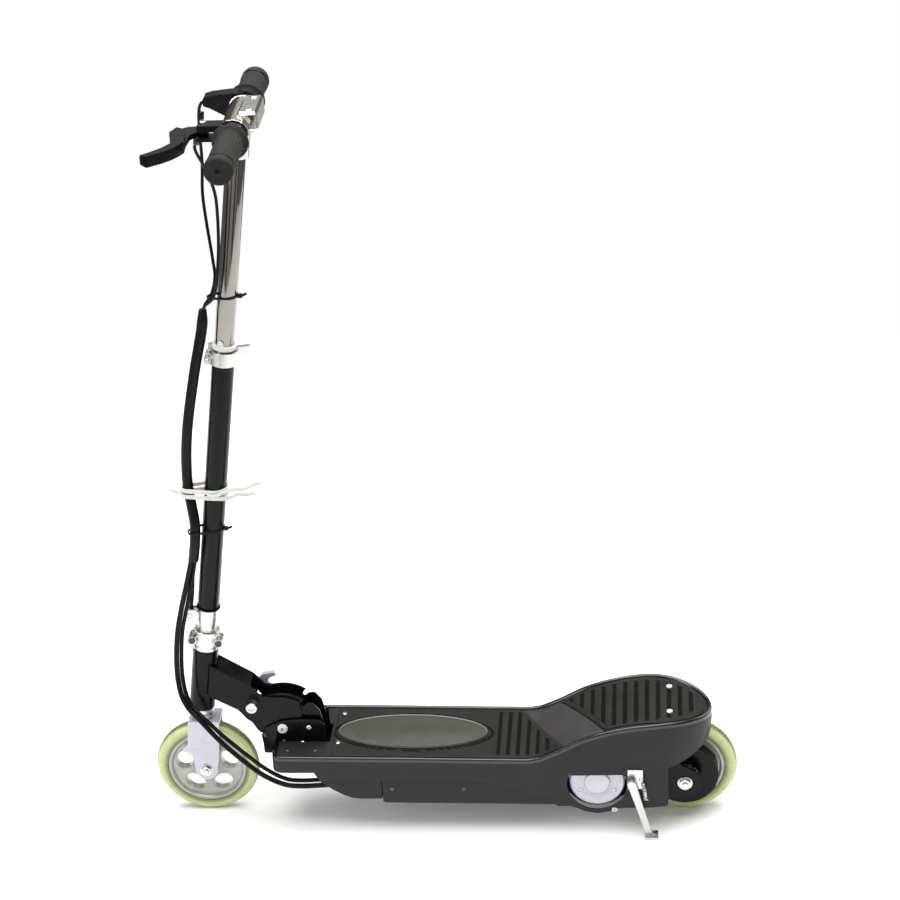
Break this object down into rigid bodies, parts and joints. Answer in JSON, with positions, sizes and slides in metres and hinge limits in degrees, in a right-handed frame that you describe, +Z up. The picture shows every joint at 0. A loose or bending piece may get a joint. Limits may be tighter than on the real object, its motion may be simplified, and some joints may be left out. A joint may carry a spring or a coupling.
{
  "type": "electric kick scooter",
  "caption": "Folding electric kick scooter: small solid wheels, battery deck with a raised heel, belt-driven rear wheel, adjustable stem, twist throttle, hand brake and kickstand.",
  "frame": {"origin": "on the ground under the middle of the wheelbase, in the scooter's middle plane", "axes": "X runs along the scooter with the front wheel toward -X, +Y is the rider's right, +Z is up"},
  "size_m": [0.7846, 0.32, 1.0079],
  "materials": {
    "black_plastic": "satin moulded black plastic",
    "black_paint": "gloss black paint",
    "tread_rubber": "matt ribbed rubber",
    "grip_foam": "matt foam rubber",
    "chrome": "polished chrome plate",
    "zinc": "bright zinc plate",
    "silver_paint": "satin silver paint",
    "clear_urethane": "clear pale yellow-green urethane",
    "hub_plastic": "semi-gloss grey plastic",
    "badge": "plain olive-grey oval, no lettering",
    "battery": "dark grey battery case",
    "cable": "black cable sheath",
    "belt": "black toothed belt",
    "switch_red": "red rocker"
  },
  "bodies": {
    "chassis": {"deck_cover": "black_plastic", "front_mat": "tread_rubber", "heel_mat": "tread_rubber", "badge_plate": "badge", "battery_box": "black_plastic", "nose_tray": "black_plastic", "battery_front": "battery", "battery_rear": "battery", "motor_controller": "zinc", "side_frame_left": "black_paint", "side_frame_right": "black_paint", "front_crossmember": "black_paint", "fold_bracket": "black_paint", "sector_plate_left": "black_paint", "sector_plate_right": "black_paint", "fold_pivot_bolt": "zinc", "rear_axle": "zinc", "motor": "silver_paint", "motor_mount": "black_paint", "drive_belt": "belt", "brake_band": "black_paint", "kickstand_bracket": "zinc", "kickstand_spring": "zinc", "charge_socket": "black_plastic", "cable_lower": "cable"},
    "neck": {"head_tube": "black_paint", "neck_bracket": "black_paint", "headset_lower_cup": "zinc"},
    "latch": {"latch_skewer": "zinc"},
    "latch_handle": {"latch_lever": "zinc"},
    "steering": {"fork": "silver_paint", "front_axle": "zinc", "stem_sleeve": "zinc", "lower_clamp": "zinc", "stem_tube": "black_paint", "upper_clamp": "zinc", "cable_sleeve": "cable", "cable_mid": "cable"},
    "clamp_handle": {"upper_clamp_lever": "zinc"},
    "front_wheel": {"front_tyre": "clear_urethane", "front_hub": "hub_plastic"},
    "rear_wheel": {"rear_tyre": "clear_urethane", "rear_hub": "hub_plastic", "driven_pulley": "black_plastic", "brake_drum": "zinc"},
    "motor_rotor": {"motor_pulley": "zinc"},
    "handlebar": {"riser_tube": "chrome", "handlebar_tube": "chrome", "t_joint": "chrome", "left_grip": "grip_foam", "brake_bracket": "black_paint", "throttle_housing": "black_plastic", "throttle_wire": "cable", "brake_wire": "cable"},
    "brake_handle": {"brake_lever": "black_paint"},
    "throttle": {"throttle_grip": "grip_foam"},
    "brake_cam": {"brake_arm": "black_paint"},
    "kickstand": {"kickstand_leg": "zinc"},
    "power_switch": {"power_rocker": "switch_red"}
  },
  "joints": [
    {"name": "fold", "type": "hinge", "parent": "chassis", "child": "neck", "pos_m": [-0.2124, 0, 0.1398], "axis": [0, 1, 0], "range_deg": [0, 86], "deforming": ["cable_lower"]},
    {"name": "steer", "type": "hinge", "parent": "neck", "child": "steering", "pos_m": [-0.31684, 0, 0.2], "axis": [0.1444, 0, 0.9895], "range_deg": [-35, 35], "deforming": ["cable_mid"]},
    {"name": "front_wheel_spin", "type": "hinge", "parent": "steering", "child": "front_wheel", "pos_m": [-0.3223, 0, 0.07], "axis": [0, 1, 0], "continuous": true},
    {"name": "rear_wheel_spin", "type": "hinge", "parent": "chassis", "child": "rear_wheel", "pos_m": [0.3223, 0, 0.07], "axis": [0, 1, 0], "continuous": true},
    {"name": "motor_spin", "type": "hinge", "parent": "chassis", "child": "motor_rotor", "pos_m": [0.2064, 0, 0.0789], "axis": [0, 1, 0], "continuous": true},
    {"name": "height_adjust", "type": "slide", "parent": "steering", "child": "handlebar", "axis": [0.1444, 0, 0.9895], "range_m": [-0.055, 0], "deforming": ["throttle_wire", "brake_wire"]},
    {"name": "clamp_lever_open", "type": "hinge", "parent": "steering", "child": "clamp_handle", "pos_m": [-0.26481, 0.0238, 0.68], "axis": [0.1444, 0, 0.9895], "range_deg": [0, 100]},
    {"name": "brake_pull", "type": "hinge", "parent": "handlebar", "child": "brake_handle", "pos_m": [-0.23621, -0.043, 0.9987], "axis": [0, 0, 1], "range_deg": [0, 25], "stiffness_Nm_per_rad": 0.6, "springref_deg": -5.73},
    {"name": "throttle_twist", "type": "hinge", "parent": "handlebar", "child": "throttle", "pos_m": [-0.20221, 0.12, 0.9857], "axis": [0, 1, 0], "range_deg": [0, 70], "stiffness_Nm_per_rad": 0.15, "springref_deg": -11.46},
    {"name": "latch_drop", "type": "slide", "parent": "neck", "child": "latch", "axis": [-0.7193, 0, 0.6947], "range_m": [-0.007, 0]},
    {"name": "latch_open", "type": "hinge", "parent": "latch", "child": "latch_handle", "pos_m": [-0.25045, 0.0285, 0.17655], "axis": [-0.342, 0, 0.9397], "range_deg": [0, 90]},
    {"name": "stand_fold", "type": "hinge", "parent": "chassis", "child": "kickstand", "pos_m": [0.252, -0.071, 0.086], "axis": [0, -1, 0], "range_deg": [0, 95], "deforming": ["kickstand_spring"]},
    {"name": "brake_cam_turn", "type": "hinge", "parent": "chassis", "child": "brake_cam", "pos_m": [0.3322, -0.0332, 0.119], "axis": [0, 1, 0], "range_deg": [0, 15]},
    {"name": "switch_rock", "type": "hinge", "parent": "chassis", "child": "power_switch", "pos_m": [-0.02, 0.065, 0.101], "axis": [0, 0, 1], "range_deg": [-8, 8]}
  ],
  "couplings": [
    {"joint": "motor_spin", "follows": "rear_wheel_spin", "ratio": 6.3077},
    {"joint": "brake_cam_turn", "follows": "brake_pull", "ratio": 0.6}
  ]
}
